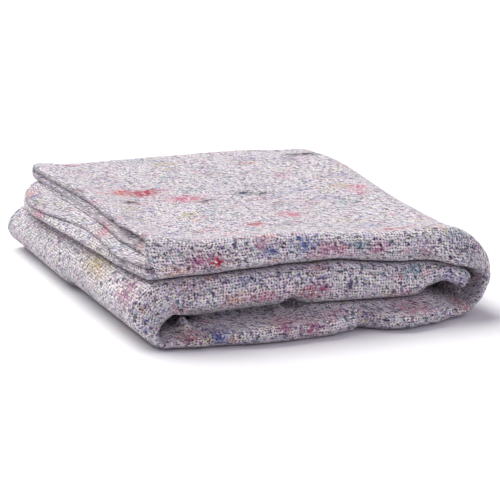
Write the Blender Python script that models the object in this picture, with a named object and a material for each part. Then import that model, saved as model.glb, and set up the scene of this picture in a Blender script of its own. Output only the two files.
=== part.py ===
"""A moving blanket of stitch-bonded felt, folded by hand into a flat pack.

The blanket starts as a flat slab of its real size, and three folds carry it: it is doubled end to
end, folded in four across its width into a strip, and the strip is folded in thirds like a letter.
Short tables make the pack as uneven as a hand-folded one. Each step moves the whole of space, so
the layers stay in order, a little apart, and the cloth stays one closed solid.
Metres, +Z up, +X to the right along the front folds, +Y to the back.
"""

from math import pi

import bmesh
import bpy
import numpy as np

# The cloth, laid flat
BLANKET_LENGTH = 2.03
BLANKET_WIDTH = 1.50
CLOTH = 0.0028  # thickness of the felt
AIR = 0.0006  # between neighbouring layers
PITCH = CLOTH + AIR

# First fold, end to end
DOUBLED_RUN = (BLANKET_LENGTH - pi * PITCH / 2) / 2

# Second fold, into a strip of four doubled layers
STRIP = 8 * CLOTH + 7 * AIR
OUTER_R = 3 * PITCH  # front fold, from the innermost doubled layer to the outermost
INNER_R = PITCH  # front fold inside that one, and the back fold
INNER_SET_BACK = 0.004  # how far the inner front fold lies behind the outer one
CUT_SET_BACK = 0.006  # how far the cut edges lie in front of the back fold
LAYER_RUN = (BLANKET_WIDTH - pi * (OUTER_R + 2 * INNER_R)) / 4 + (INNER_SET_BACK + CUT_SET_BACK) / 2
DEPTH = STRIP / 2 + LAYER_RUN + 1.5 * PITCH + CLOTH / 2
FRONT_FOLD = STRIP / 2 - DEPTH / 2  # where the layers turn into the front fold

# Third fold, in thirds: the last third lies over the first, and the middle one on the floor
THIRDS_AIR = 0.0010
LEFT_R = STRIP + THIRDS_AIR / 2
RIGHT_R = 1.5 * STRIP + THIRDS_AIR
CURL_R = 0.026  # the free end curls down inside the right bend
CURL_TURN = 1.3
FLOOR_RUN = 0.254
FIRST_SHORT = 0.002  # how much shorter the first third is than the middle one
FIRST_RUN = FLOOR_RUN - FIRST_SHORT
LEFT_BEND = CURL_R * CURL_TURN + FIRST_RUN
FLOOR_START = LEFT_BEND + pi * LEFT_R
RIGHT_BEND = FLOOR_START + FLOOR_RUN
TOP_START = RIGHT_BEND + pi * RIGHT_R
WIDTH = LEFT_R + FLOOR_RUN + RIGHT_R
FLOOR_LEFT = LEFT_R - WIDTH / 2

# How the pack departs from a neat one. Places run along the strip from its free end.
# The strip's thickness, as a share of the full one, where the bends squeeze it
SQUEEZE = (  # place, share
    (0.000, 0.66),
    (0.035, 0.74),
    (0.085, 1.00),
    (LEFT_BEND - 0.010, 1.00),
    (LEFT_BEND + 0.040, 0.88),
    (LEFT_BEND + 0.064, 0.60),
    (FLOOR_START - 0.006, 0.42),
    (FLOOR_START + 0.014, 0.42),
    (FLOOR_START + 0.042, 0.84),
    (FLOOR_START + 0.080, 1.00),
    (RIGHT_BEND - 0.022, 1.00),
    (RIGHT_BEND + 0.040, 0.62),
    (TOP_START - 0.044, 0.64),
    (TOP_START + 0.004, 1.00),
)
# How far the front folds stand forward, at the strip's outer face and at its inner one
FRONT_LINE = (  # place, outer, inner
    (0.000, -0.006, -0.006),
    (0.090, 0.004, 0.004),
    (0.170, 0.008, 0.006),
    (LEFT_BEND - 0.050, 0.004, 0.004),
    (LEFT_BEND + 0.042, 0.002, 0.000),
    (FLOOR_START - 0.010, 0.009, -0.002),
    (FLOOR_START + 0.003, 0.013, -0.001),
    (FLOOR_START + 0.030, 0.020, 0.000),
    (FLOOR_START + 0.080, 0.028, 0.000),
    (FLOOR_START + 0.112, 0.028, 0.000),
    (FLOOR_START + 0.134, 0.026, 0.008),
    (FLOOR_START + 0.158, 0.019, 0.012),
    (FLOOR_START + 0.168, 0.010, 0.010),
    (FLOOR_START + 0.187, 0.026, 0.012),
    (FLOOR_START + 0.202, 0.030, 0.012),
    (FLOOR_START + 0.232, 0.024, 0.010),
    (RIGHT_BEND, 0.013, 0.004),
    (RIGHT_BEND + 0.060, 0.002, 0.002),
    (TOP_START, 0.002, 0.000),
    (TOP_START + 0.100, 0.003, 0.000),
    (TOP_START + 0.250, 0.002, 0.000),
)
FRONT_REACH = 0.12  # how far back into the pack the front line's shifts reach
OUTER_SHARE = 1.4  # the layers near the outer face follow the outer column in full
# How much further right each side stands
SIDE_LINE = (  # y, left side, right side
    (-0.190, 0.001, 0.001),
    (-0.060, 0.001, 0.000),
    (0.190, 0.003, 0.017),
)
# The doubled layers end at different lengths on the left of the top third
END_SHIFT = (  # height in the strip, length added at the front, and at the back
    (-3 * PITCH, 0.010, 0.002),
    (-1 * PITCH, 0.009, 0.014),
    (1 * PITCH, 0.003, 0.002),
    (3 * PITCH, -0.006, -0.010),
)
BULB = 0.45  # how much thicker the doubling fold is than the layers behind it
BULB_RUN = 0.016
END_FRONT_OUT, END_FRONT_REACH = 0.006, 0.030  # the front fold sticks out a little further
END_SPREAD, END_REACH = 0.20, 0.04  # how far the doubled layers' ends spread apart, and over what
FAN_Y, FAN_X_REACH, FAN_Y_REACH, FAN_SHARE = 0.190, 0.110, 0.150, 0.42  # and more at the back
FAN_START_RUN = 0.08  # the spread grows over this run past the right bend
# Soft dips in what lies above a height, in full from a second height up. A negative drop is a rise.
DIPS = (  # x, y, reach in x, reach in y, low, high, drop
    (-0.130, 0.200, 0.110, 0.150, 0.000, 0.050, 0.012),
    (-0.110, -0.180, 0.070, 0.110, 0.000, 0.027, 0.006),
    (-0.120, 0.000, 0.050, 0.150, 0.052, 0.080, 0.005),
    (0.140, -0.170, 0.140, 0.160, 0.000, 0.075, 0.009),
    (0.070, -0.190, 0.060, 0.120, 0.000, 0.050, 0.003),
    (-0.010, -0.190, 0.060, 0.100, 0.026, 0.052, -0.007),
    (-0.010, -0.190, 0.070, 0.120, 0.056, 0.080, 0.006),
    (0.030, 0.190, 0.120, 0.100, 0.000, 0.078, 0.003),
    (0.140, 0.195, 0.045, 0.050, 0.000, 0.078, 0.005),
    (0.030, 0.030, 0.090, 0.110, 0.000, 0.078, 0.003),
)

# The slab's facets
CURL_STEPS = 2
LEFT_STEPS = 6
RIGHT_STEPS = 8
OUTER_STEPS = 6
TIGHT_STEPS = 4
RUN_LINES = (0.00, 0.14, 0.31, 0.53, 0.66, 0.80, 1.00)  # of each third, as shares from the left
LAYER_LINES = (0.000, 0.020, 0.080, 0.160, 0.250, 0.330)  # of each layer, behind the front fold
LEAST_STEP = 0.01  # no such line lies nearer than this to a layer's end

# The paths of the folds: each run is a length and the angle turned to the left over it
DOUBLING = ((DOUBLED_RUN, 0), (pi * PITCH / 2, pi), (DOUBLED_RUN, 0))
FOURING = (
    (LAYER_RUN - CUT_SET_BACK, 0),
    (pi * OUTER_R, -pi),
    (LAYER_RUN, 0),
    (pi * INNER_R, -pi),
    (LAYER_RUN - INNER_SET_BACK, 0),
    (pi * INNER_R, pi),
    (LAYER_RUN - INNER_SET_BACK - CUT_SET_BACK, 0),
)
THIRDING = (
    (CURL_R * CURL_TURN, CURL_TURN),
    (FIRST_RUN, 0),
    (pi * LEFT_R, pi),
    (FLOOR_RUN, 0),
    (pi * RIGHT_R, pi),
    (DOUBLED_RUN - TOP_START, 0),
)

BLANKET_COLOUR = (0.56, 0.53, 0.56, 1.0)
BLANKET_ROUGHNESS = 0.95


def eased(value, table, column=1):
    """Reads a table whose rows start with a place, at the values, with no kink at any row."""
    rows = np.array(table)
    places, amounts = rows[:, 0], rows[:, column]
    row = np.clip(np.searchsorted(places, value) - 1, 0, len(places) - 2)
    share = np.clip((value - places[row]) / (places[row + 1] - places[row]), 0, 1)
    return amounts[row] + (amounts[row + 1] - amounts[row]) * rising(share)


def rising(share):
    """Goes smoothly from nothing to one."""
    share = np.clip(share, 0, 1)
    return share * share * (3 - 2 * share)


def hump(distance, reach):
    """One in the middle, falling smoothly to nothing past the reach."""
    return np.exp(-((distance / reach) ** 2))


def follow(runs, start, heading, along):
    """Walks a path of straight runs and bends, each a length and the angle turned to the left.

    Returns the position and the heading at each distance along it.
    """
    x, y = start
    found = np.zeros((3, len(along)))
    done = 0.0
    for length, turn in runs:
        here = (along >= done) | (done == 0)
        t = along[here] - done
        if turn:
            radius = length / turn
            angle = heading + t / radius
            found[0, here] = x + radius * (np.sin(angle) - np.sin(heading))
            found[1, here] = y - radius * (np.cos(angle) - np.cos(heading))
            x += radius * (np.sin(heading + turn) - np.sin(heading))
            y -= radius * (np.cos(heading + turn) - np.cos(heading))
            found[2, here] = angle
            heading += turn
        else:
            found[0, here] = x + t * np.cos(heading)
            found[1, here] = y + t * np.sin(heading)
            found[2, here] = heading
            x += length * np.cos(heading)
            y += length * np.sin(heading)
        done += length
    return found


def double(p, t):
    """First fold: from a place along the blanket to one along the doubled cloth."""
    s, middle, heading = follow(DOUBLING, (0, -PITCH / 2), 0, p)
    middle *= 1 + BULB * rising((s - DOUBLED_RUN) / BULB_RUN + 1)
    return s - t * np.sin(heading), middle + t * np.cos(heading)


def fold_in_four(s, q, lift):
    """Second fold: from a place across the blanket to a depth in the pack and a height in the strip."""
    start = (FRONT_FOLD + LAYER_RUN - CUT_SET_BACK, -OUTER_R)
    y, middle, heading = follow(FOURING, start, pi, q)
    spread = fan(s, y) * (middle + OUTER_R)
    return y - lift * np.sin(heading), middle + lift * np.cos(heading) + spread


def fan(s, y):
    """How far the doubled layers of the top third spread apart near the back left corner."""
    share = FAN_SHARE * hump(s - DOUBLED_RUN, FAN_X_REACH) * hump(y - FAN_Y, FAN_Y_REACH)
    share = share + END_SPREAD * hump(s - DOUBLED_RUN, END_REACH)
    return share * rising((s - TOP_START) / FAN_START_RUN)


def fold_in_thirds(s, b):
    """Third fold: from a place along the strip and a height in it to the pack's x and z."""
    curl_x = FLOOR_LEFT + FIRST_RUN + CURL_R * np.sin(CURL_TURN)
    curl_z = 2 * LEFT_R - CURL_R * (1 - np.cos(CURL_TURN))
    x, z, heading = follow(THIRDING, (curl_x, curl_z), pi - CURL_TURN, s)
    inward = (STRIP / 2 - b) * eased(s, SQUEEZE)
    return x - inward * np.sin(heading), z + inward * np.cos(heading)


def settle(s, y, b):
    """Shifts the strip's front folds and the ends of its layers along themselves."""
    outer = rising(OUTER_SHARE * (b / STRIP + 0.5))
    forward = eased(s, FRONT_LINE, 1) * outer + eased(s, FRONT_LINE, 2) * (1 - outer)
    y = y - forward * (1 - rising((y - FRONT_FOLD) / FRONT_REACH))
    behind = rising(y / DEPTH + 0.5)
    longer = eased(b, END_SHIFT, 1) * (1 - behind) + eased(b, END_SHIFT, 2) * behind
    longer += END_FRONT_OUT * hump(y - FRONT_FOLD, END_FRONT_REACH)
    return s + longer * rising((s - TOP_START) / FLOOR_RUN), y


def lean(x, y):
    """Moves the left and right sides out or in."""
    right = rising(x / WIDTH + 0.5)
    return x + eased(y, SIDE_LINE, 1) * (1 - right) + eased(y, SIDE_LINE, 2) * right


def dip(x, y, z):
    """Lowers or lifts what lies above each dip's level."""
    for at_x, at_y, reach_x, reach_y, low, high, drop in DIPS:
        share = hump(x - at_x, reach_x) * hump(y - at_y, reach_y)
        z = z - drop * share * rising((z - low) / (high - low))
    return z


def folded(p, q, t):
    """Carries points of the flat slab into the folded pack."""
    s, lift = double(p, t)
    y, b = fold_in_four(s, q, lift)
    s, y = settle(s, y, b)
    x, z = fold_in_thirds(s, b)
    return lean(x, y), y, dip(x, y, z)


def even(length, steps):
    """Stations at even steps along a run, from nothing to its length."""
    return np.linspace(0, length, steps + 1)


def layer(run):
    """Stations along one layer, from the front fold back."""
    return np.array([line for line in LAYER_LINES if line < run - LEAST_STEP] + [run])


def back(stations):
    """The same stations, walked the other way."""
    return stations[-1] - stations[::-1]


def joined(*runs):
    """Stations of several runs, walked one after the other."""
    stations = np.zeros(1)
    for run in runs:
        stations = np.concatenate([stations, stations[-1] + run[1:]])
    return stations


def stations_along():
    """Where the slab has its lines along the blanket, the same in both halves and all thirds."""
    curl, first, left, floor, right, top = (run[0] for run in THIRDING)
    lines = np.array(RUN_LINES)
    half = joined(
        even(curl, CURL_STEPS),
        back(first * lines),
        even(left, LEFT_STEPS),
        floor * lines,
        even(right, RIGHT_STEPS),
        back(top * lines),
    )
    return joined(half, even(DOUBLING[1][0], TIGHT_STEPS), back(half))


def stations_across():
    """Where the slab has its lines across the blanket, at the same depths in every layer."""
    lengths = [run[0] for run in FOURING]
    return joined(
        back(layer(lengths[0])),
        even(lengths[1], OUTER_STEPS),
        layer(lengths[2]),
        even(lengths[3], TIGHT_STEPS),
        back(layer(lengths[4])),
        even(lengths[5], TIGHT_STEPS),
        layer(lengths[6]),
    )


def flat_slab():
    """The blanket laid flat: x along it, y across it and z through it."""
    along, across = stations_along(), stations_across()
    bm = bmesh.new()
    bmesh.ops.create_grid(bm, x_segments=len(along) - 1, y_segments=len(across) - 1, size=0.5)
    for vert in bm.verts:
        column = round((vert.co.x + 0.5) * (len(along) - 1))
        row = round((vert.co.y + 0.5) * (len(across) - 1))
        vert.co = (along[column], across[row], 0)
    split(bm)
    bmesh.ops.solidify(bm, geom=bm.verts[:] + bm.edges[:] + bm.faces[:], thickness=CLOTH)
    heights = [vert.co.z for vert in bm.verts]
    middle = (min(heights) + max(heights)) / 2
    bmesh.ops.translate(bm, verts=bm.verts, vec=(0, 0, -middle))
    return bm


def split(bm):
    """Splits the grid into triangles whose diagonals run the same way in neighbouring layers."""
    middles = np.array([face.calc_center_median() for face in bm.faces])
    s = np.minimum(middles[:, 0], BLANKET_LENGTH - middles[:, 0])
    turns = (middles[:, 0] > BLANKET_LENGTH / 2).astype(int)
    turns += (s > FLOOR_START) & (s < RIGHT_BEND)
    turns += np.cos(follow(FOURING, (0, 0), pi, middles[:, 1])[2]) < 0
    for odd, method in ((0, "FIXED"), (1, "ALTERNATE")):
        faces = [face for face, turned in zip(bm.faces[:], turns) if turned % 2 == odd]
        bmesh.ops.triangulate(bm, faces=faces, quad_method=method)


def add_blanket(collection):
    """Makes the folded blanket as one solid, with the middle of its underside at the origin."""
    bm = flat_slab()
    points = np.array([vert.co for vert in bm.verts])
    places = np.transpose(folded(*points.T))
    lowest, highest = places.min(axis=0), places.max(axis=0)
    places -= ((lowest[0] + highest[0]) / 2, (lowest[1] + highest[1]) / 2, lowest[2])
    for vert, place in zip(bm.verts, places):
        vert.co = place
    bmesh.ops.recalc_face_normals(bm, faces=bm.faces)
    mesh = bpy.data.meshes.new("blanket")
    bm.to_mesh(mesh)
    bm.free()
    mesh.shade_smooth()
    blanket = bpy.data.objects.new("blanket", mesh)
    mesh.materials.append(felt())
    collection.objects.link(blanket)


def felt():
    """The plain stand-in for the felt's finish."""
    material = bpy.data.materials.new("stitch_bonded_felt")
    material.use_nodes = True
    shader = material.node_tree.nodes["Principled BSDF"]
    shader.inputs["Base Color"].default_value = BLANKET_COLOUR
    shader.inputs["Roughness"].default_value = BLANKET_ROUGHNESS
    shader.inputs["Metallic"].default_value = 0.0
    return material


def main():
    """Clears the scene and builds the blanket in a collection of its own."""
    for obj in list(bpy.data.objects):
        bpy.data.objects.remove(obj, do_unlink=True)
    collection = bpy.data.collections.new("moving_blanket")
    bpy.context.scene.collection.children.link(collection)
    add_blanket(collection)


main()
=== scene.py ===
"""The looks of a folded moving blanket of stitch-bonded felt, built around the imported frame.

Metres, +Z up, +X to the right along the front folds and +Y to the back, as in the frame.
"""

import logging
from dataclasses import dataclass, field
from enum import Enum
from math import cos, pi, radians, sin
from typing import Any

import bmesh
import bpy
import numpy as np
from bpy.types import NodeSocket, NodeTree
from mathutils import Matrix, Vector

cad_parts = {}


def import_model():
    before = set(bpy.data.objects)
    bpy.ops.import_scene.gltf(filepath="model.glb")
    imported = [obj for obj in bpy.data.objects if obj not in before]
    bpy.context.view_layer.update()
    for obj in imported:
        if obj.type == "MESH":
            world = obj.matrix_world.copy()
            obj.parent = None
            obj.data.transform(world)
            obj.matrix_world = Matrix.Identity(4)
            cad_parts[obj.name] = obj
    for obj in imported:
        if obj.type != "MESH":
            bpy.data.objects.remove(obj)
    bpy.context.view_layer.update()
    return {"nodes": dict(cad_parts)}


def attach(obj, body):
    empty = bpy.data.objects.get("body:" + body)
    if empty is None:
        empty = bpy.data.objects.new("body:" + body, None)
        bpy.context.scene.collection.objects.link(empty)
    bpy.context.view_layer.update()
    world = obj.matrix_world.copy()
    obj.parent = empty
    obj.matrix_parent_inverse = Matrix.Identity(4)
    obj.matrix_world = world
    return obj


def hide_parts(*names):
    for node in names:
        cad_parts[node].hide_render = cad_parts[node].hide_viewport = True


log = logging.getLogger("moving_blanket")

MM = 0.001
PLAN = "cloth_plan"  # the UV map: metres along and across the flat cloth
FLECK = "fleck"  # the colour attribute: a clump of dyed fibres and how much of it there is
FACTOR, MIX_A, MIX_B, MIXED = 0, 6, 7, 2  # sockets of a colour Mix node

Array = np.ndarray
Triple = tuple[float, float, float]  # something for each of x, y and z


def linear(code: str) -> tuple[float, float, float, float]:
    """Turns an sRGB hex colour into the linear one that a shader takes.

    Args:
        code: the colour as #rrggbb.

    Returns:
        Linear red, green and blue, and an opacity of one.
    """
    shares = [int(code[at : at + 2], 16) / 255 for at in (1, 3, 5)]
    red, green, blue = (
        share / 12.92 if share <= 0.04045 else ((share + 0.055) / 1.055) ** 2.4 for share in shares
    )
    return red, green, blue, 1.0


def add_node(
    tree: NodeTree, kind: str, inputs: dict[Any, Any] | None = None, **settings: Any
) -> bpy.types.Node:
    """Adds a node with its settings, and sets or links its inputs.

    Args:
        tree: the node tree.
        kind: the node's type, without the ShaderNode in front.
        inputs: a value or another node's output for each input, by name or number.
        **settings: the node's own properties.

    Returns:
        The new node.
    """
    node = tree.nodes.new("ShaderNode" + kind)
    for name, value in settings.items():
        setattr(node, name, value)
    for key, value in (inputs or {}).items():
        if isinstance(value, NodeSocket):
            tree.links.new(value, node.inputs[key])
        else:
            node.inputs[key].default_value = value
    return node


def rising(share: Array) -> Array:
    """Goes smoothly from nothing to one.

    Args:
        share: how far along, with anything below 0 or above 1 held there.

    Returns:
        The eased share.
    """
    share = np.clip(share, 0, 1)
    return share * share * (3 - 2 * share)


def hump(distance: Array, reach: float) -> Array:
    """One in the middle, falling smoothly to nothing past the reach.

    Args:
        distance: how far from the middle.
        reach: where about a third is left.

    Returns:
        The height of the hump there.
    """
    return np.exp(-((distance / reach) ** 2))


@dataclass(frozen=True)
class Profile:
    """Amounts at places along a line, joined with no kink at any of them."""

    rows: tuple[tuple[float, ...], ...]
    unit: float = 1.0  # MM where the rows are in millimetres

    def at(self, value: Array, column: int = 1) -> Array:
        """Reads the profile.

        Args:
            value: the places to read it at.
            column: which amount of each row to read.

        Returns:
            The amount at each place.
        """
        table = np.array(self.rows) * self.unit
        places, amounts = table[:, 0], table[:, column]
        row = np.clip(np.searchsorted(places, value) - 1, 0, len(places) - 2)
        share = rising((value - places[row]) / (places[row + 1] - places[row]))
        return amounts[row] + (amounts[row + 1] - amounts[row]) * share


@dataclass(frozen=True)
class Run:
    """One stretch of a fold's path: its length, and the angle it turns to the left."""

    length: float
    turn: float = 0.0


@dataclass(frozen=True)
class FoldPath:
    """The line that a layer follows through one fold, seen from its side."""

    runs: tuple[Run, ...]
    start: tuple[float, float]
    heading: float = 0.0

    def follow(self, along: Array) -> Array:
        """Walks the path.

        Args:
            along: distances from its start.

        Returns:
            Three rows: the two coordinates and the heading at each distance.
        """
        x, y = self.start
        heading = self.heading
        found = np.zeros((3, len(along)))
        done = 0.0
        for run in self.runs:
            here = (along >= done) | (done == 0)
            t = along[here] - done
            if run.turn:
                radius = run.length / run.turn
                angle = heading + t / radius
                end = heading + run.turn
                found[0, here] = x + radius * (np.sin(angle) - sin(heading))
                found[1, here] = y - radius * (np.cos(angle) - cos(heading))
                found[2, here] = angle
                x += radius * (sin(end) - sin(heading))
                y -= radius * (cos(end) - cos(heading))
                heading = end
            else:
                found[0, here] = x + t * cos(heading)
                found[1, here] = y + t * sin(heading)
                found[2, here] = heading
                x += run.length * cos(heading)
                y += run.length * sin(heading)
            done += run.length
        return found


@dataclass(frozen=True)
class Dip:
    """A soft dip, in millimetres, in what lies above a height, in full from a second height up."""

    x: float
    y: float
    reach_x: float
    reach_y: float
    low: float
    high: float
    drop: float  # a negative drop is a rise

    def sink(self, x: Array, y: Array, z: Array) -> Array:
        """Lowers the cloth near the dip.

        Args:
            x: the cloth's places from left to right.
            y: its places from front to back.
            z: its heights.

        Returns:
            The heights with this dip in them.
        """
        share = hump(x / MM - self.x, self.reach_x) * hump(y / MM - self.y, self.reach_y)
        return z - self.drop * MM * share * rising((z / MM - self.low) / (self.high - self.low))


@dataclass(frozen=True)
class Crease:
    """A soft trough or ridge along a straight line in the pack, in millimetres."""

    start: Triple
    end: Triple
    width: float
    push: Triple
    depth_share: float = 1.0  # how much of a distance in depth counts

    def press(self, places: Array) -> Array:
        """Pushes the cloth near the line.

        Args:
            places: the cloth's points, a row each.

        Returns:
            The points with this crease in them.
        """
        counted = np.array((1.0, self.depth_share, 1.0))
        start = np.array(self.start) * counted
        line = np.array(self.end) * counted - start
        past = places / MM * counted - start
        share = np.clip(past @ line / (line @ line), 0, 1)
        away = np.linalg.norm(past - share[:, None] * line, axis=1)
        return places + hump(away, self.width)[:, None] * np.array(self.push) * MM


class Dye(Enum):
    """Colours of the rag fibres that flecks are made of."""

    CRIMSON = "#b5123c"
    RED = "#c83a3e"
    PINK = "#d8708f"
    MAGENTA = "#a8246e"
    ORANGE = "#e0862e"
    STRAW = "#c2b25a"
    TEAL = "#3f8796"
    BLUE = "#3c56a8"
    VIOLET = "#56378a"
    NAVY = "#232a55"
    INK = "#241f2e"


@dataclass(frozen=True)
class Fleck:
    """A clump of dyed fibres at a place on the pack's outside, in millimetres."""

    dye: Dye
    place: Triple
    reach: Triple
    amount: float


@dataclass(frozen=True)
class Clumps:
    """Scattered clumps of dyed fibre of about one size."""

    size: float
    rarity: float  # the share of the clumps that are left out
    reach: float  # how far a clump reaches in its cell


@dataclass(frozen=True)
class Thread:
    """Loose threads of one colour that lie along the cloth."""

    colour: str
    offset: float  # millimetres that set one colour's threads apart from another's
    least: float  # the more, the fewer threads there are


RAG_DYES = (
    Dye.PINK, Dye.BLUE, Dye.VIOLET, Dye.CRIMSON, Dye.NAVY, Dye.TEAL, Dye.PINK, Dye.INK,
    Dye.ORANGE, Dye.VIOLET, Dye.MAGENTA, Dye.STRAW, Dye.BLUE, Dye.PINK, Dye.INK,
)  # as often as each shows among the scattered clumps


@dataclass(frozen=True)
class StitchBondedFelt:
    """Felt of shredded rags, needled and sewn through with rows of small stitches.

    It gives the eye a matt lilac grey, speckled stitch by stitch, with painted shade in a pin-hole
    between every four stitches, and loose clumps and threads of dyed fibre along the cloth.
    """

    stitch: float = 2.5 * MM
    bend: float = 14 * MM  # the stitch rows wander over about this length
    wander: float = 1.4 * MM
    jitter_run: float = 4 * MM  # and each stitch sits a little off its place
    jitter: float = 0.9 * MM
    fibre: float = 1.0 * MM  # fine fibres, drawn as coarse as they need to show
    tuft: float = 5 * MM
    streak: Clumps = Clumps(30 * MM, 0.4, 0.45)  # large clumps of dyed fibre, and small ones
    knot: Clumps = Clumps(12 * MM, 0.62, 0.5)
    threads: tuple[Thread, ...] = (Thread(Dye.INK.value, 40, 0.625), Thread("#f6f3f7", 90, 0.67))
    thread_along: float = 5 * MM  # a thread's length and width, as the noise draws them
    thread_across: float = MM / 0.34
    thread_edge: float = 0.05
    thread_cover: float = 0.85
    clump_draw: Triple = (0.7, 1.0, 1.0)  # drawn out along the cloth
    clump_chance: float = 0.15  # a stitch with a lower chance takes no dye,
    clump_cover: float = 0.7  # and one with the full chance is covered by this share
    fleck_chance: tuple[float, float] = (0.1, 0.75)  # chances that give the listed flecks
    fleck_cover: tuple[float, float] = (0.15, 1.4)  # their least and their fullest cover
    pale: str = "#f8f5f9"
    light: str = "#d9d1da"
    grey: str = "#96859e"
    dark: str = "#513a58"
    # painted shade: the dark colour that each pin-hole is painted with, for the shade inside it
    shaded_hole: str = "#261732"
    light_at: float = 0.42  # the two middle shades' places on the way from dark to pale
    grey_at: float = 0.2
    stitch_weight: float = 0.8  # how far the shade differs from stitch to stitch
    tuft_weight: float = 1.4  # and from tuft to tuft, next to a weight of one for the fibres
    shade_sums: tuple[float, float] = (1.0, 2.1)  # sums that give the darkest and palest shade
    stitch_tint: float = 0.13
    hole_wave: tuple[float, float] = (0.55, -0.8)  # where on its wave a hole starts, and is full
    hole_cover: tuple[float, float] = (0.15, 1.45)  # the faintest hole, and the darkest, both in depth and in painted shade
    hole_depth: float = 1.2
    roughness: float = 0.95
    relief: float = 0.5 * MM
    sheen: str = "#f8f2f8"

    def material(self) -> bpy.types.Material:
        """Makes the felt's material.

        Returns:
            The material, which reads the flat cloth's plan and its flecks.
        """
        material = bpy.data.materials.new("stitch_bonded_felt")
        material.use_nodes = True
        tree = material.node_tree
        tree.nodes.clear()
        plan = add_node(tree, "UVMap", uv_map=PLAN)
        cloth = add_node(
            tree, "VectorMath", {0: plan.outputs["UV"], "Scale": 1 / MM}, operation="SCALE"
        ).outputs[0]
        cloth = self.add_shift(tree, cloth, self.bend, self.wander)
        cloth = self.add_shift(tree, cloth, self.jitter_run, self.jitter)
        shaded_hole, puff = self.add_stitches(tree, cloth)
        fine, tufts = (
            add_node(
                tree, "TexNoise",
                {"Vector": cloth, "Scale": MM / size, "Detail": 2.0, "Roughness": 0.65},
                noise_dimensions="2D",
            ).outputs["Fac"]
            for size in (self.fibre, self.tuft)
        )
        chance = add_node(tree, "SeparateColor", {"Color": puff})
        shade = add_node(
            tree, "Math", {0: chance.outputs["Red"], 1: self.stitch_weight, 2: fine},
            operation="MULTIPLY_ADD",
        ).outputs[0]
        shade = add_node(
            tree, "Math", {0: tufts, 1: self.tuft_weight, 2: shade}, operation="MULTIPLY_ADD"
        ).outputs[0]
        low, high = self.shade_sums
        share = add_node(
            tree, "MapRange", {"Value": shade, "From Min": low, "From Max": high}
        ).outputs[0]
        ramp = add_node(tree, "ValToRGB", {"Fac": share})
        ramp.color_ramp.elements[0].color = linear(self.dark)
        ramp.color_ramp.elements[1].color = linear(self.pale)
        ramp.color_ramp.elements.new(self.grey_at).color = linear(self.grey)
        ramp.color_ramp.elements.new(self.light_at).color = linear(self.light)
        colour = add_node(
            tree, "Mix", {FACTOR: self.stitch_tint, MIX_A: ramp.outputs["Color"], MIX_B: puff},
            data_type="RGBA",
        ).outputs[MIXED]
        green, blue = chance.outputs["Green"], chance.outputs["Blue"]
        colour = self.add_clumps(tree, colour, cloth, green, self.streak)
        colour = self.add_clumps(tree, colour, cloth, blue, self.knot)
        colour = self.add_charted(tree, colour, blue)
        colour = self.add_threads(tree, colour, cloth)
        # painted shade: the pin-holes are darkened with their painted shade colour
        colour = add_node(
            tree, "Mix", {FACTOR: shaded_hole, MIX_A: colour, MIX_B: linear(self.shaded_hole)},
            data_type="RGBA",
        ).outputs[MIXED]
        height = add_node(
            tree, "Math", {0: shaded_hole, 1: -self.hole_depth, 2: fine}, operation="MULTIPLY_ADD"
        ).outputs[0]
        bump = add_node(tree, "Bump", {"Height": height, "Distance": self.relief, "Strength": 1.0})
        shader = add_node(
            tree, "BsdfPrincipled",
            {
                "Base Color": colour, "Normal": bump.outputs[0], "Roughness": self.roughness,
                "Specular IOR Level": 0.15, "Sheen Weight": 0.25, "Sheen Roughness": 0.5,
                "Sheen Tint": linear(self.sheen),
            },
        )
        add_node(tree, "OutputMaterial", {"Surface": shader.outputs[0]})
        return material

    def add_shift(
        self, tree: NodeTree, cloth: NodeSocket, size: float, amount: float
    ) -> NodeSocket:
        """Makes what is laid out on the cloth wander.

        Args:
            tree: the node tree.
            cloth: places on the cloth in millimetres.
            size: over what length it wanders.
            amount: how far it does.

        Returns:
            The shifted places.
        """
        sway = add_node(
            tree, "TexNoise", {"Vector": cloth, "Scale": MM / size, "Detail": 1.0},
            noise_dimensions="2D",
        ).outputs["Color"]
        full = 2 * amount / MM  # the noise goes half of this to each side of its middle
        return add_node(
            tree, "VectorMath", {0: sway, 1: (full, full, 0.0), 2: cloth},
            operation="MULTIPLY_ADD",
        ).outputs[0]

    def add_stitches(self, tree: NodeTree, cloth: NodeSocket) -> tuple[NodeSocket, NodeSocket]:
        """Sets out the even grid of stitches.

        Args:
            tree: the node tree.
            cloth: places on the cloth in millimetres.

        Returns:
            How deep in a pin-hole each place lies, which also sets the painted shade it takes, and
            random colours for the puffs between them.
        """
        stitch = self.stitch / MM
        turned = add_node(
            tree, "VectorMath", {0: cloth, "Scale": 2 * pi / stitch}, operation="SCALE"
        ).outputs[0]
        wave = add_node(tree, "VectorMath", {0: turned}, operation="COSINE").outputs[0]
        waves = add_node(tree, "SeparateXYZ", {0: wave})
        start, full = self.hole_wave
        near = [
            add_node(
                tree, "MapRange", {"Value": waves.outputs[way], "From Min": start, "From Max": full}
            ).outputs[0]
            for way in ("X", "Y")
        ]
        shaded_hole = add_node(tree, "Math", {0: near[0], 1: near[1]}, operation="MULTIPLY").outputs[0]
        numbers = []
        for offset in (0.0, 0.5):
            cell = add_node(
                tree, "VectorMath",
                {0: cloth, 1: (1 / stitch, 1 / stitch, 0), 2: (offset, offset, 0)},
                operation="MULTIPLY_ADD",
            ).outputs[0]
            cell = add_node(tree, "VectorMath", {0: cell}, operation="FLOOR").outputs[0]
            numbers.append(add_node(tree, "TexWhiteNoise", {"Vector": cell}, noise_dimensions="2D"))
        low, high = self.hole_cover
        strength = add_node(
            tree, "MapRange", {"Value": numbers[0].outputs["Value"], "To Min": low, "To Max": high}
        ).outputs[0]
        shaded_hole = add_node(
            tree, "Math", {0: shaded_hole, 1: strength}, operation="MULTIPLY", use_clamp=True
        ).outputs[0]
        return shaded_hole, numbers[1].outputs["Color"]

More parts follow.
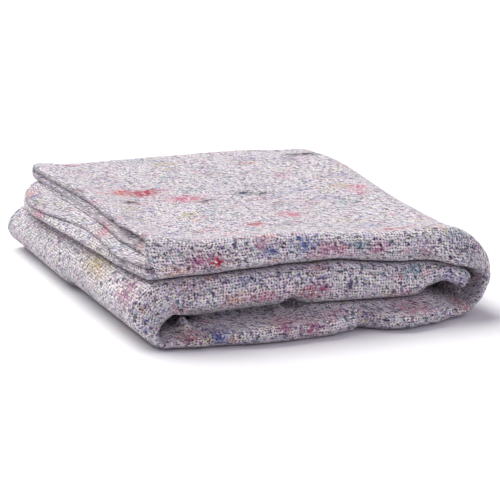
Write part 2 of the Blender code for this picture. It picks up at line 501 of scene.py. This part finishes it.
    def add_clumps(
        self, tree: NodeTree, colour: NodeSocket, cloth: NodeSocket, chance: NodeSocket,
        clumps: Clumps,
    ) -> NodeSocket:
        """Tints scattered clumps, stitch by stitch, with the dyes of the rags.

        Args:
            tree: the node tree.
            colour: the cloth's colour so far.
            cloth: places on the cloth in millimetres.
            chance: a random number for each stitch.
            clumps: how large and how common they are.

        Returns:
            The tinted colour.
        """
        place = self.add_shift(tree, cloth, clumps.size / 3, clumps.size / 4)  # ragged edges
        drawn = add_node(tree, "Mapping", {"Vector": place, "Scale": self.clump_draw}).outputs[0]
        clump = add_node(
            tree, "TexVoronoi", {"Vector": drawn, "Scale": MM / clumps.size},
            voronoi_dimensions="2D",
        )
        near = add_node(
            tree, "MapRange",
            {"Value": clump.outputs["Distance"], "From Min": clumps.reach, "From Max": 0.0},
            interpolation_type="SMOOTHSTEP",
        ).outputs[0]
        random = add_node(tree, "SeparateColor", {"Color": clump.outputs["Color"]})
        kept = add_node(
            tree, "Math", {0: random.outputs["Green"], 1: clumps.rarity},
            operation="GREATER_THAN",
        ).outputs[0]
        strong = add_node(
            tree, "MapRange",
            {"Value": chance, "From Min": self.clump_chance, "To Max": self.clump_cover},
        ).outputs[0]
        amount = add_node(tree, "Math", {0: near, 1: strong}, operation="MULTIPLY").outputs[0]
        amount = add_node(
            tree, "Math", {0: amount, 1: kept}, operation="MULTIPLY", use_clamp=True
        ).outputs[0]
        dyes = add_node(tree, "ValToRGB", {"Fac": random.outputs["Red"]})
        dyes.color_ramp.interpolation = "CONSTANT"
        dyes.color_ramp.elements.remove(dyes.color_ramp.elements[1])
        dyes.color_ramp.elements[0].color = linear(RAG_DYES[0].value)
        for number, dye in enumerate(RAG_DYES[1:], 1):
            dyes.color_ramp.elements.new(number / len(RAG_DYES)).color = linear(dye.value)
        return add_node(
            tree, "Mix", {FACTOR: amount, MIX_A: colour, MIX_B: dyes.outputs["Color"]},
            data_type="RGBA",
        ).outputs[MIXED]

    def add_charted(self, tree: NodeTree, colour: NodeSocket, chance: NodeSocket) -> NodeSocket:
        """Tints the clumps that are listed one by one.

        Args:
            tree: the node tree.
            colour: the cloth's colour so far.
            chance: a random number for each stitch.

        Returns:
            The tinted colour.
        """
        placed = add_node(tree, "VertexColor", layer_name=FLECK)
        (low, high), (least, most) = self.fleck_chance, self.fleck_cover
        uneven = add_node(
            tree, "MapRange",
            {"Value": chance, "From Min": low, "From Max": high, "To Min": least, "To Max": most},
        ).outputs[0]
        amount = add_node(
            tree, "Math", {0: placed.outputs["Alpha"], 1: uneven},
            operation="MULTIPLY", use_clamp=True,
        ).outputs[0]
        return add_node(
            tree, "Mix", {FACTOR: amount, MIX_A: colour, MIX_B: placed.outputs["Color"]},
            data_type="RGBA",
        ).outputs[MIXED]

    def add_threads(self, tree: NodeTree, colour: NodeSocket, cloth: NodeSocket) -> NodeSocket:
        """Lays loose dark and white threads along the cloth.

        Args:
            tree: the node tree.
            colour: the cloth's colour so far.
            cloth: places on the cloth in millimetres.

        Returns:
            The colour with the threads on it.
        """
        scale = (MM / self.thread_along, MM / self.thread_across, 1.0)
        for thread in self.threads:
            place = (thread.offset, thread.offset, 0.0)
            drawn = add_node(
                tree, "Mapping", {"Vector": cloth, "Location": place, "Scale": scale}
            ).outputs[0]
            strand = add_node(
                tree, "TexNoise", {"Vector": drawn, "Scale": 1.0, "Detail": 2.0},
                noise_dimensions="2D",
            ).outputs["Fac"]
            amount = add_node(
                tree, "MapRange",
                {
                    "Value": strand, "From Min": thread.least,
                    "From Max": thread.least + self.thread_edge, "To Max": self.thread_cover,
                },
            ).outputs[0]
            colour = add_node(
                tree, "Mix", {FACTOR: amount, MIX_A: colour, MIX_B: linear(thread.colour)},
                data_type="RGBA",
            ).outputs[MIXED]
        return colour


@dataclass(frozen=True)
class PaperSweep:
    """Matt white background paper, which gives the eye an even pale floor."""

    colour: str = "#ececef"
    roughness: float = 0.9

    def material(self) -> bpy.types.Material:
        """Makes the paper's material.

        Returns:
            The material.
        """
        material = bpy.data.materials.new("white_background_paper")
        material.use_nodes = True
        shader = material.node_tree.nodes["Principled BSDF"]
        shader.inputs["Base Color"].default_value = linear(self.colour)
        shader.inputs["Roughness"].default_value = self.roughness
        shader.inputs["Specular IOR Level"].default_value = 0.0
        return material


@dataclass
class MovingBlanket:
    """One sheet of felt, doubled end to end, folded in four into a strip, and that in thirds."""

    length: float = 2.03
    width: float = 1.5
    cloth: float = 2.8 * MM
    air: float = 0.6 * MM
    inner_set_back: float = 4 * MM
    cut_set_back: float = 6 * MM
    thirds_air: float = 1 * MM
    curl_radius: float = 33 * MM
    curl_turn: float = 0.9
    floor_run: float = 0.254
    first_short: float = 1 * MM
    even_near: float = 25 * MM  # how far from a fold its stretch is evened out in the plan
    middle: Triple = (0.0105, -0.0165, 0.0)
    bulb: float = 0.15  # how much the doubled end swells, and over what length
    bulb_run: float = 0.016
    squareness: float = 2.2  # the more, the squarer the strip's front
    front_reach: float = 0.12  # how far back the front's unevenness goes
    level_reach: float = 0.016  # how far from a front line its change of level goes up and down,
    level_depth: float = 0.1  # how far back,
    level_foot: float = 0.012  # and how far from the floor it starts to fade
    fan_y: float = 0.19  # the doubled layers spread apart most this far back
    fan_reach_x: float = 0.11
    fan_reach_y: float = 0.15
    fan_share: float = 0.42
    fan_run: float = 0.08  # the length in which the spread starts
    end_spread: float = 0.02  # and all along the ends they spread a little more
    end_reach: float = 0.04
    gap_reach: float = 0.025  # the rolled ends stand apart over about this length,
    gap_shut: float = 0.6  # and less by this share at the back
    gap_shut_reach: float = 0.12
    fine_run: float = 0.05  # lines lie closer together this near a bend
    inner_steps: tuple[float, ...] = (0.008, 0.024, 0.007, 0.012, 0.024, 0.008, 0.022)
    outer_steps: tuple[float, ...] = (0.004, 0.005, 0.0026, 0.0022, 0.0042, 0.0026, 0.0052)
    fold_steps: int = 8
    across_steps: tuple[float, ...] = (0.024, 0.005, 0.0021, 0.0062, 0.0018, 0.024, 0.0018, 0.024)
    side_line: Profile = Profile((  # y, how much further right the left side stands, and the right
        (-190, 1, 1),
        (-60, 1, 0),
        (190, 5.5, 19),
    ), MM)
    layer_ends: Profile = Profile((  # y, length added to each doubled layer, lowest first
        (-193.5, -2, -3, 1, 4), (-166.5, 2, 3, -1, -6), (-131.5, 6, 8, 2, -5),
        (-96.5, 8, 6, 2, -4), (-66.5, 10, 2, -2, -7), (-16.5, 12, 0, -5, -11),
        (23.5, 14, 5, -4, -12), (53.5, 14, 13, -1, -11), (103.5, 14, 15, 13, -10),
        (143.5, 10, 11, 11, -10), (180.5, 2, 1, -4, -10),
    ), MM)
    front_levels: Profile = Profile((  # x, how much higher the upper front line is, and the lower
        (-165, 0, 0), (-140, 4, 0), (-112, 5.5, 0), (-80, 3.5, 0), (-35, -1, -0.5),
        (-10, -2, -2), (30, 2.5, -3), (60, 4, -3.5), (95, 4.5, -4.5), (125, 1.5, -4),
        (150, 0, 0),
    ), MM)
    dips: tuple[Dip, ...] = (
        Dip(-130, 200, 110, 150, 0, 50, 12),
        Dip(-110, -180, 70, 110, 0, 27, 6),
        Dip(-120, 0, 50, 150, 52, 80, 5),
        Dip(140, -170, 140, 160, 0, 75, 9),
        Dip(70, -190, 60, 120, 0, 50, 3),
        Dip(-10, -190, 60, 100, 26, 52, -7),
        Dip(-10, -190, 70, 120, 56, 80, 6),
        Dip(30, 190, 120, 100, 0, 78, 3),
        Dip(140, 195, 45, 50, 0, 78, 5),
        Dip(30, 30, 90, 110, 0, 78, 3),
        Dip(-95, -192, 55, 35, 56, 80, -10),
        Dip(0, -192, 50, 35, 56, 78, -3),
        Dip(95, -192, 55, 35, 52, 75, -6),
    )
    creases: tuple[Crease, ...] = (
        Crease((-166, -220, 6), (-166, 20, 6), 14, (6, 0, 0)),
        Crease((-146, -210, 26), (-146, -150, 26), 9, (7, 0, -4)),
        Crease((-122, -215, 15), (-122, -160, 15), 4.5, (-2, 0, 11)),
        Crease((-146, -50, 78.5), (-151, -168, 77.5), 3.2, (7, 0, 0)),
        Crease((-148, -10, 66), (-153, -145, 68), 3, (6, 0, 0)),
        Crease((-160, 60, 55), (-160, -125, 58), 3, (5, 0, 0)),
        Crease((-154, -174, 79), (-152, -172, 62), 3.2, (6, 5, 0)),
        Crease((-112, -172, 22), (-50, -170, 20), 7, (0, 12, -3), 0.4),
        Crease((-139, -215, 30), (-139, -160, 30), 8, (2, 0, 5)),
        Crease((-132, -184, 41), (-129, -184, 31), 3.6, (0, 16, 0), 0.5),
        Crease((-116, -182, 21), (-112, -188, 14), 5.5, (0, 22, 0), 0.5),
        Crease((-31, -175, 24), (-29, -184, 12), 7, (0, 26, 0), 0.5),
        Crease((100, -172, 19), (123, -170, 18), 8.5, (0, 30, 0), 0.5),
        Crease((112, -170, 52), (136, -166, 43), 7, (0, -9, -4), 0.4),
        Crease((122, -172, 45), (123, -172, 28), 13, (10, -3, -2), 0.5),
        Crease((123, -172, 29), (131, -170, 31), 8, (0, -3, -7), 0.5),
        Crease((124, -169, 27), (119, -175, 15), 2.5, (0, -7, 0), 0.5),
        Crease((138, -167, 36), (129, -177, 14), 4.5, (0, 18, 0), 0.5),
        Crease((133, -166, 36), (144, -175, 37), 4.5, (0, 12, 0), 0.5),
        Crease((76, -174, 57), (82, -174, 55), 4.5, (0, 11, 1), 0.5),
    )
    flecks: tuple[Fleck, ...] = (
        # top, from the left
        Fleck(Dye.RED, (-100, 52, 78), (8, 12, 6), 1.44),
        Fleck(Dye.CRIMSON, (-84, 44, 78), (11, 12, 6), 1.53),
        Fleck(Dye.INK, (-108, 11, 78), (7, 6, 6), 1.08),
        Fleck(Dye.INK, (-44, -8, 78), (8, 6, 6), 1.26),
        Fleck(Dye.PINK, (-58, 4, 79), (16, 10, 6), 0.99),
        Fleck(Dye.NAVY, (1, 17, 77), (8, 8, 6), 1.08),
        Fleck(Dye.INK, (16, 11, 77), (8, 5, 6), 1.35),
        Fleck(Dye.PINK, (106, 4, 77), (8, 8, 6), 1.08),
        Fleck(Dye.PINK, (7, -77, 76), (10, 10, 6), 0.99),
        Fleck(Dye.RED, (-38, -109, 78), (6, 6, 6), 1.08),
        Fleck(Dye.INK, (121, 160, 78), (16, 8, 6), 1.35),
        Fleck(Dye.RED, (64, -160, 72), (18, 6, 5), 1.08),
        # front of the top third
        Fleck(Dye.CRIMSON, (-99, -177, 67), (8, 10, 5), 0.9),
        Fleck(Dye.MAGENTA, (-114, -177, 69), (12, 10, 8), 0.55),
        Fleck(Dye.BLUE, (-54, -176, 72), (8, 10, 6), 0.6),
        Fleck(Dye.BLUE, (-22, -176, 74), (10, 12, 6), 0.75),
        Fleck(Dye.MAGENTA, (0, -177, 70), (12, 10, 5), 0.55),
        Fleck(Dye.TEAL, (26, -177, 70), (8, 10, 6), 0.6),
        Fleck(Dye.MAGENTA, (42, -178, 66), (8, 10, 6), 0.6),
        Fleck(Dye.NAVY, (124, -178, 57), (9, 12, 7), 0.7),
        # rolled ends and left bend
        Fleck(Dye.ORANGE, (-148, -128, 75), (8, 8, 5), 0.9),
        Fleck(Dye.PINK, (-147, -39, 69), (8, 10, 5), 0.7),
        Fleck(Dye.RED, (-158, 150, 62), (6, 12, 6), 0.6),
        Fleck(Dye.PINK, (-164, 102, 52), (8, 14, 6), 0.8),
        Fleck(Dye.STRAW, (-161, -64, 44), (12, 30, 12), 0.5),
        Fleck(Dye.MAGENTA, (-164, -147, 42), (12, 20, 14), 0.5),
        # first third
        Fleck(Dye.RED, (-19, -182, 36), (16, 12, 6), 0.6),
        Fleck(Dye.PINK, (-59, -182, 35), (12, 12, 6), 0.6),
        Fleck(Dye.INK, (16, -181, 37), (6, 10, 5), 0.6),
        # middle third
        Fleck(Dye.RED, (-125, -185, 10), (10, 14, 5), 0.5),
        Fleck(Dye.STRAW, (-112, -191, 9), (6, 10, 6), 0.5),
        Fleck(Dye.BLUE, (-102, -193, 10), (8, 12, 7), 0.75),
        Fleck(Dye.ORANGE, (-94, -194, 8), (6, 10, 4), 0.5),
        Fleck(Dye.CRIMSON, (-50, -193, 13), (10, 14, 5), 0.7),
        Fleck(Dye.MAGENTA, (-26, -200, 10), (10, 14, 6), 0.6),
        Fleck(Dye.VIOLET, (27, -190, 12), (9, 14, 7), 0.6),
        Fleck(Dye.PINK, (69, -192, 16), (16, 14, 5), 0.6),
        Fleck(Dye.CRIMSON, (121, -186, 12), (8, 12, 6), 0.6),
    )
    finish: StitchBondedFelt = field(default_factory=StitchBondedFelt)

    def __post_init__(self) -> None:
        """Works out the folds' sizes and paths from the driving ones."""
        pitch = self.cloth + self.air
        self.pitch = pitch
        self.strip = 8 * self.cloth + 7 * self.air
        tight = pi * pitch / 2
        self.doubled_run = (self.length - tight) / 2
        self.doubling = FoldPath(
            (Run(self.doubled_run), Run(tight, pi), Run(self.doubled_run)), (0.0, -pitch / 2)
        )
        outer_radius, inner_radius = 3 * pitch, pitch
        layer = (self.width - pi * (outer_radius + 2 * inner_radius)) / 4
        layer += (self.inner_set_back + self.cut_set_back) / 2
        self.depth = self.strip / 2 + layer + 1.5 * pitch + self.cloth / 2
        self.front_fold = self.strip / 2 - self.depth / 2
        self.in_four = FoldPath(
            (
                Run(layer - self.cut_set_back),
                Run(pi * outer_radius, -pi),
                Run(layer),
                Run(pi * inner_radius, -pi),
                Run(layer - self.inner_set_back),
                Run(pi * inner_radius, pi),
                Run(layer - self.inner_set_back - self.cut_set_back),
            ),
            (self.front_fold + layer - self.cut_set_back, -outer_radius),
            pi,
        )
        left, right = self.strip + self.thirds_air / 2, 1.5 * self.strip + self.thirds_air
        curl = self.curl_radius * self.curl_turn
        first = self.floor_run - self.first_short
        self.left_bend = curl + first
        self.floor_start = self.left_bend + pi * left
        self.right_bend = self.floor_start + self.floor_run
        self.top_start = self.right_bend + pi * right
        self.across = left + self.floor_run + right
        floor_left = left - self.across / 2
        self.in_thirds = FoldPath(
            (
                Run(curl, self.curl_turn),
                Run(first),
                Run(pi * left, pi),
                Run(self.floor_run),
                Run(pi * right, pi),
                Run(self.doubled_run - self.top_start),
            ),
            (
                floor_left + first + self.curl_radius * sin(self.curl_turn),
                2 * left - self.curl_radius * (1 - cos(self.curl_turn)),
            ),
            pi - self.curl_turn,
        )
        self.set_unevenness()

    def set_unevenness(self) -> None:
        """Sets how the pack departs from a neat one, by places along the strip."""
        left, floor, right, top = self.left_bend, self.floor_start, self.right_bend, self.top_start
        pitch = self.pitch
        self.squeeze = Profile((  # place, thickness as a share of the full one
            (0.0, 0.64), (0.008, 0.6), (0.018, 0.54), (0.028, 0.62), (0.044, 0.88),
            (0.058, 1.0),
            (left - 0.024, 1.0), (left - 0.01, 0.94), (left + 0.04, 0.96), (left + 0.058, 0.9),
            (left + 0.07, 0.64), (left + 0.078, 0.36),
            (floor - 0.002, 0.42), (floor + 0.005, 0.55), (floor + 0.024, 0.64),
            (floor + 0.028, 0.7), (floor + 0.036, 0.97), (floor + 0.06, 1.0),
            (right - 0.016, 1.0), (right + 0.017, 0.68), (right + 0.036, 0.92),
            (right + 0.046, 1.0), (right + 0.053, 0.62), (right + 0.064, 0.52),
            (right + 0.076, 0.74),
            (top - 0.034, 0.8), (top - 0.016, 0.93), (top + 0.004, 1.0),
        ))
        self.front_line = Profile((  # place, forward at the strip's outer face, and at its inner
            (0.0, -0.006, -0.006), (0.09, 0.004, 0.004), (0.17, 0.008, 0.006),
            (left - 0.05, 0.004, 0.004), (left + 0.042, 0.002, 0.0),
            (floor - 0.01, 0.009, -0.002), (floor + 0.003, 0.013, -0.001),
            (floor + 0.03, 0.02, 0.0), (floor + 0.08, 0.028, 0.0), (floor + 0.112, 0.028, 0.0),
            (floor + 0.134, 0.026, 0.008), (floor + 0.158, 0.019, 0.012),
            (floor + 0.168, 0.01, 0.01), (floor + 0.175, 0.017, 0.01),
            (floor + 0.187, 0.026, 0.012), (floor + 0.202, 0.03, 0.012),
            (floor + 0.232, 0.024, 0.01),
            (right, 0.013, 0.004), (right + 0.06, 0.002, 0.002),
            (top, 0.002, 0.0), (top + 0.1, 0.003, 0.0), (top + 0.25, 0.002, 0.0),
        ))
        self.fan_lift = Profile((  # height in the strip, share of the doubled layers' spread
            (-4 * pitch, 0.0),
            (-2 * pitch, 0.1),
            (0.0, 2.4),
            (2 * pitch, 2.55),
            (4 * pitch, 2.75),
        ))
        self.gaps = Profile((  # height in the strip, how far the rolled ends stand apart
            (-2.3 * pitch, 0.0),
            (-1.7 * pitch, 0.0028),
            (-0.3 * pitch, 0.0028),
            (0.3 * pitch, 0.0056),
            (1.7 * pitch, 0.0056),
            (2.3 * pitch, 0.0084),
        ))

    def double(self, p: Array, t: Array) -> tuple[Array, Array]:
        """First fold: doubles the cloth end to end.

        Args:
            p: places along the blanket.
            t: places through the cloth.

        Returns:
            Places along the doubled cloth, and heights in it.
        """
        s, middle, heading = self.doubling.follow(p)
        middle = middle * (1 + self.bulb * rising((s - self.doubled_run) / self.bulb_run + 1))
        return s - t * np.sin(heading), middle + t * np.cos(heading)

    def fold_in_four(
        self, s: Array, q: Array, lift: Array
    ) -> tuple[Array, Array]:
        """Second fold: folds the doubled cloth in four across its width.

        Args:
            s: places along the strip.
            q: places across the blanket.
            lift: heights in the doubled cloth.

        Returns:
            Depths in the pack, and heights in the strip.
        """
        y, middle, heading = self.in_four.follow(q)
        height = middle + lift * np.cos(heading)
        spread = self.fan(s, y) * 2 * self.pitch * self.fan_lift.at(height)
        shut = self.gap_shut * hump(y - self.fan_y, self.gap_shut_reach)
        open_share = hump(s - self.doubled_run, self.gap_reach) * (1 - shut)
        spread += open_share * self.gaps.at(height)
        return y - lift * np.sin(heading), height + spread

    def fan(self, s: Array, y: Array) -> Array:
        """How far the doubled layers of the top third spread apart at its end.

        Args:
            s: places along the strip.
            y: depths in the pack.

        Returns:
            The spread, as a share of the layers' heights.
        """
        share = self.fan_share * hump(s - self.doubled_run, self.fan_reach_x)
        share = share * hump(y - self.fan_y, self.fan_reach_y)
        share = share + self.end_spread * hump(s - self.doubled_run, self.end_reach)
        return share * rising((s - self.top_start) / self.fan_run)

    def settle(self, s: Array, y: Array, b: Array) -> tuple[Array, Array]:
        """Shifts the strip's front folds, and the ends of its layers.

        Args:
            s: places along the strip.
            y: depths in the pack.
            b: heights in the strip.

        Returns:
            The shifted places along the strip, and depths.
        """
        outer = rising(self.squareness * (b / self.strip + 0.5))
        forward = self.front_line.at(s) * outer + self.front_line.at(s, 2) * (1 - outer)
        y = y - forward * (1 - rising((y - self.front_fold) / self.front_reach))
        longer = self.layer_ends.at(y)
        for number in (1, 2, 3):
            above = rising(b / (2 * self.pitch) + 2.5 - number)
            more = self.layer_ends.at(y, number + 1) - self.layer_ends.at(y, number)
            longer = longer + more * above
        return s + longer * rising((s - self.top_start) / self.floor_run), y

    def fold_in_thirds(self, s: Array, b: Array) -> tuple[Array, Array]:
        """Third fold: folds the strip in thirds like a letter.

        Args:
            s: places along the strip.
            b: heights in the strip.

        Returns:
            The pack's x and z.
        """
        x, z, heading = self.in_thirds.follow(s)
        inward = (self.strip / 2 - b) * self.squeeze.at(s)
        return x - inward * np.sin(heading), z + inward * np.cos(heading)

    def folded(self, flat: Array) -> Array:
        """Carries points of the flat cloth into the folded pack.

        Args:
            flat: a row each of places along, across and through the cloth.

        Returns:
            A row each of x, y and z, with the middle of the pack's underside at the origin.
        """
        p, q, t = flat.T
        s, lift = self.double(p, t)
        y, b = self.fold_in_four(s, q, lift)
        s, y = self.settle(s, y, b)
        x, z = self.fold_in_thirds(s, b)
        right = rising(x / self.across + 0.5)
        x = x + self.side_line.at(y) * (1 - right) + self.side_line.at(y, 2) * right
        for dip in self.dips:
            z = dip.sink(x, y, z)
        upper = self.front_levels.at(x) * hump(z - 2 * self.strip, self.level_reach)
        lower = self.front_levels.at(x, 2) * hump(z - self.strip, self.level_reach)
        lower = lower * rising(z / self.level_foot)
        z = z + (upper + lower) * hump(y + self.depth / 2, self.level_depth)
        places = np.stack([x, y, z], axis=1)
        places -= self.middle
        for crease in self.creases:
            places = crease.press(places)
        return places

    @staticmethod
    def stations(runs: tuple[Run, ...], steps: tuple[float, ...]) -> Array:
        """Where the flat cloth has its lines, at about the given step in each run.

        Args:
            runs: the stretches that the lines follow.
            steps: the distance between lines in each.

        Returns:
            The lines' places, from nothing to the runs' whole length.
        """
        found = [np.zeros(1)]
        for run, step in zip(runs, steps, strict=True):
            count = max(1, round(run.length / step))
            found.append(found[-1][-1] + np.linspace(0, run.length, count + 1)[1:])
        return np.concatenate(found)

    def lines_along(self) -> Array:
        """Lines along the blanket, close together in the half that lies outside.

        Returns:
            Their places.
        """
        runs = self.in_thirds.runs
        near = Run(self.fine_run)
        runs = (*runs[:3], near, Run(runs[3].length - near.length), *runs[4:])
        inner = self.stations(runs, self.inner_steps)
        outer = self.stations(runs, self.outer_steps)
        turn = self.doubling.runs[1].length
        fold = inner[-1] + np.linspace(0, turn, self.fold_steps + 1)
        return np.concatenate([inner, fold[1:], fold[-1] + outer[-1] - outer[::-1][1:]])

    def lines_across(self) -> Array:
        """Lines across the blanket, close together at the front fold and on the top layer.

        Returns:
            Their places.
        """
        runs = self.in_four.runs
        near = Run(self.fine_run)
        runs = (Run(runs[0].length - near.length), near, *runs[1:])
        return self.stations(runs, self.across_steps)

    def build(self) -> bpy.types.Object:
        """Builds the folded blanket.

        Returns:
            The blanket, dressed in its felt.
        """
        along, across = self.lines_along(), self.lines_across()
        bm = bmesh.new()
        bmesh.ops.create_grid(bm, x_segments=len(along) - 1, y_segments=len(across) - 1, size=0.5)
        for vert in bm.verts:
            column = round((vert.co.x + 0.5) * (len(along) - 1))
            row = round((vert.co.y + 0.5) * (len(across) - 1))
            vert.co = (along[column], across[row], 0)
        everything = bm.verts[:] + bm.edges[:] + bm.faces[:]
        bmesh.ops.solidify(bm, geom=everything, thickness=self.cloth)
        heights = [vert.co.z for vert in bm.verts]
        middle = (min(heights) + max(heights)) / 2
        bmesh.ops.translate(bm, verts=bm.verts, vec=(0, 0, -middle))
        flat = np.array([vert.co for vert in bm.verts])
        self.draw_plan(bm, flat, along, across)
        places = self.folded(flat)
        for vert, place in zip(bm.verts, places):
            vert.co = place
        bmesh.ops.recalc_face_normals(bm, faces=bm.faces)
        mesh = bpy.data.meshes.new("felt_blanket")
        bm.to_mesh(mesh)
        bm.free()
        mesh.shade_smooth()
        self.mark_flecks(mesh, places)
        mesh.materials.append(self.finish.material())
        blanket = bpy.data.objects.new("felt_blanket", mesh)
        bpy.context.scene.collection.objects.link(blanket)
        log.info("felt_blanket: %d by %d lines", len(along), len(across))
        return blanket

    def draw_plan(
        self, bm: bmesh.types.BMesh, flat: Array, along: Array, across: Array
    ) -> None:
        """Gives each face of the cloth its plan in metres, with what the folds stretch evened out.

        Args:
            bm: the flat cloth.
            flat: its points, a row each.
            along: the places of its lines along the blanket.
            across: the places of its lines across the blanket.
        """
        p, q, t = flat.T
        column = np.rint(np.interp(p, along, np.arange(len(along)))).astype(int)
        row = np.rint(np.interp(q, across, np.arange(len(across)))).astype(int)
        under, over = (self.stretched(along, across, side * self.cloth / 2) for side in (-1, 1))
        added = np.where((t > 0)[:, None], over[column, row], under[column, row])
        plan_of = self.unrolled(flat) + added
        plan = bm.loops.layers.uv.new(PLAN)
        beside = 1.5 * self.length  # the under face lies beside the upper one
        for face in bm.faces:
            normal = face.normal
            for loop in face.loops:
                place = loop.vert.co
                shift = beside if normal.z < -0.5 else 0.0
                through = (place.z + self.cloth / 2) if abs(normal.z) < 0.5 else 0.0
                u, v = plan_of[loop.vert.index]
                loop[plan].uv = (u + shift + through * normal.x, v + through * normal.y)

    def unrolled(self, flat: Array) -> Array:
        """Follows the cloth's faces, which are shorter or longer round a fold than its middle is.

        Args:
            flat: a row each of places along, across and through the cloth.

        Returns:
            A row each of places along and across the face.
        """
        p, q, t = flat.T
        doubled = self.doubling.follow(p)[2]
        lift = np.where(doubled > pi / 2, 0.5, -0.5) * self.pitch + t * np.cos(doubled)
        turned = self.in_four.follow(q)[2] - pi
        return np.stack([p - t * doubled, q - lift * turned], axis=1)

    def stretched(self, along: Array, across: Array, through: float) -> Array:
        """Measures how much longer the folded cloth is near its main folds than the flat one.

        Args:
            along: the places of its lines along the blanket.
            across: the places of its lines across the blanket.
            through: the measured face's place through the cloth.

        Returns:
            The length added along and across, up to each crossing of the lines.
        """
        p, q = np.meshgrid(along, across, indexing="ij")
        face = np.stack([p.ravel(), q.ravel(), np.full(p.size, through)], axis=1)
        places = self.folded(face).reshape(*p.shape, 3)
        plain = self.unrolled(face).reshape(*p.shape, 2)
        front = self.in_four.runs[0].length + self.in_four.runs[1].length / 2
        added = []
        for way, (lines, fold) in enumerate(((along, self.length / 2), (across, front))):
            steps = np.linalg.norm(np.diff(places, axis=way), axis=2)
            middles = (lines[1:] + lines[:-1]) / 2
            near = 1 - rising((abs(middles - fold) - self.even_near) / self.even_near)
            near = near[:, None] if way == 0 else near[None, :]
            more = np.cumsum((steps - np.diff(plain[..., way], axis=way)) * near, axis=way)
            more = np.insert(more, 0, 0.0, axis=way)
            middle = np.argmin(abs(lines - fold))
            added.append(more - more.take([middle], axis=way))
        return np.stack(added, axis=2)

    def mark_flecks(self, mesh: bpy.types.Mesh, places: Array) -> None:
        """Stores the charted flecks as a colour attribute.

        Args:
            mesh: the blanket's mesh.
            places: its points, a row each.
        """
        colours = np.zeros((len(places), 4), np.float32)
        colours[:, :3] = 0.5  # a grey that each fleck's edge fades into
        for fleck in self.flecks:
            away = (places / MM - np.array(fleck.place)) / np.array(fleck.reach)
            amount = fleck.amount * np.exp(-(away**2).sum(axis=1))
            stronger = amount > colours[:, 3]
            colours[stronger, :3] = linear(fleck.dye.value)[:3]
            colours[stronger, 3] = amount[stronger]
        layer = mesh.color_attributes.new(FLECK, "FLOAT_COLOR", "POINT")
        layer.data.foreach_set("color", colours.ravel())


@dataclass(frozen=True)
class Lamp:
    """A soft lamp, far enough away to light everything alike."""

    name: str
    strength: float
    width: float  # how many degrees it looks across
    colour: str
    towards: Triple  # where it stands, seen from the blanket


@dataclass
class Studio:
    """A pale paper sweep, an even room light with two soft lamps, and the camera."""

    target: Triple = (-0.0158, -0.0406, 0.0389)
    distance: float = 1.89
    azimuth: float = radians(-21.7)
    elevation: float = radians(13.4)
    lens: float = 156.3
    sensor: float = 36.0
    floor_size: float = 12.0
    floor_below: float = 0.2 * MM
    room_colour: str = "#f6effb"
    room_strength: float = 0.44
    lamps: tuple[Lamp, ...] = (
        Lamp("broad_lamp", 4.05, 50, "#fbfcf5", (-0.22, 0.57, 0.79)),  # high up at the back left
        Lamp("fill_lamp", 0.92, 70, "#f8f2ff", (0.78, -0.62, 0.12)),  # low at the front right
    )
    paper: PaperSweep = field(default_factory=PaperSweep)

    def add_floor(self) -> bpy.types.Object:
        """Lays the paper just under the blanket.

        Returns:
            The floor.
        """
        bm = bmesh.new()
        bmesh.ops.create_grid(bm, x_segments=1, y_segments=1, size=self.floor_size / 2)
        bmesh.ops.translate(bm, verts=bm.verts, vec=(0, 0, -self.floor_below))
        mesh = bpy.data.meshes.new("paper_sweep")
        bm.to_mesh(mesh)
        bm.free()
        mesh.materials.append(self.paper.material())
        floor = bpy.data.objects.new("paper_sweep", mesh)
        bpy.context.scene.collection.objects.link(floor)
        return floor

    def add_lights(self) -> None:
        """Adds the even room light and the lamps."""
        world = bpy.data.worlds.new("studio_room")
        world.use_nodes = True
        room = world.node_tree.nodes["Background"]
        room.inputs["Color"].default_value = linear(self.room_colour)
        room.inputs["Strength"].default_value = self.room_strength
        bpy.context.scene.world = world
        bpy.context.scene.view_settings.view_transform = "Standard"
        for lamp in self.lamps:
            sun = bpy.data.lights.new(lamp.name, "SUN")
            sun.energy = lamp.strength
            sun.angle = radians(lamp.width)
            sun.color = linear(lamp.colour)[:3]
            light = bpy.data.objects.new(lamp.name, sun)
            light.rotation_euler = Vector(lamp.towards).to_track_quat("Z", "Y").to_euler()
            bpy.context.scene.collection.objects.link(light)

    def add_camera(self) -> None:
        """Sets up the camera."""
        back = Vector((
            sin(self.azimuth) * cos(self.elevation),
            -cos(self.azimuth) * cos(self.elevation),
            sin(self.elevation),
        ))
        camera = bpy.data.objects.new("camera", bpy.data.cameras.new("camera"))
        camera.data.sensor_width = self.sensor
        camera.data.lens = self.lens
        camera.location = Vector(self.target) + back * self.distance
        camera.rotation_euler = back.to_track_quat("Z", "Y").to_euler()
        bpy.context.scene.collection.objects.link(camera)
        bpy.context.scene.camera = camera


def main() -> None:
    """Builds the scene around the frame."""
    logging.basicConfig(level=logging.INFO, format="%(name)s %(message)s")
    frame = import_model()
    log.info("frame nodes: %s", ", ".join(frame["nodes"]))
    studio = Studio()
    studio.add_camera()
    design = MovingBlanket()
    blanket = design.build()
    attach(blanket, "root")
    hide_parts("blanket")
    studio.add_floor()
    studio.add_lights()
    bpy.context.view_layer.update()


if __name__ == "__main__":
    main()
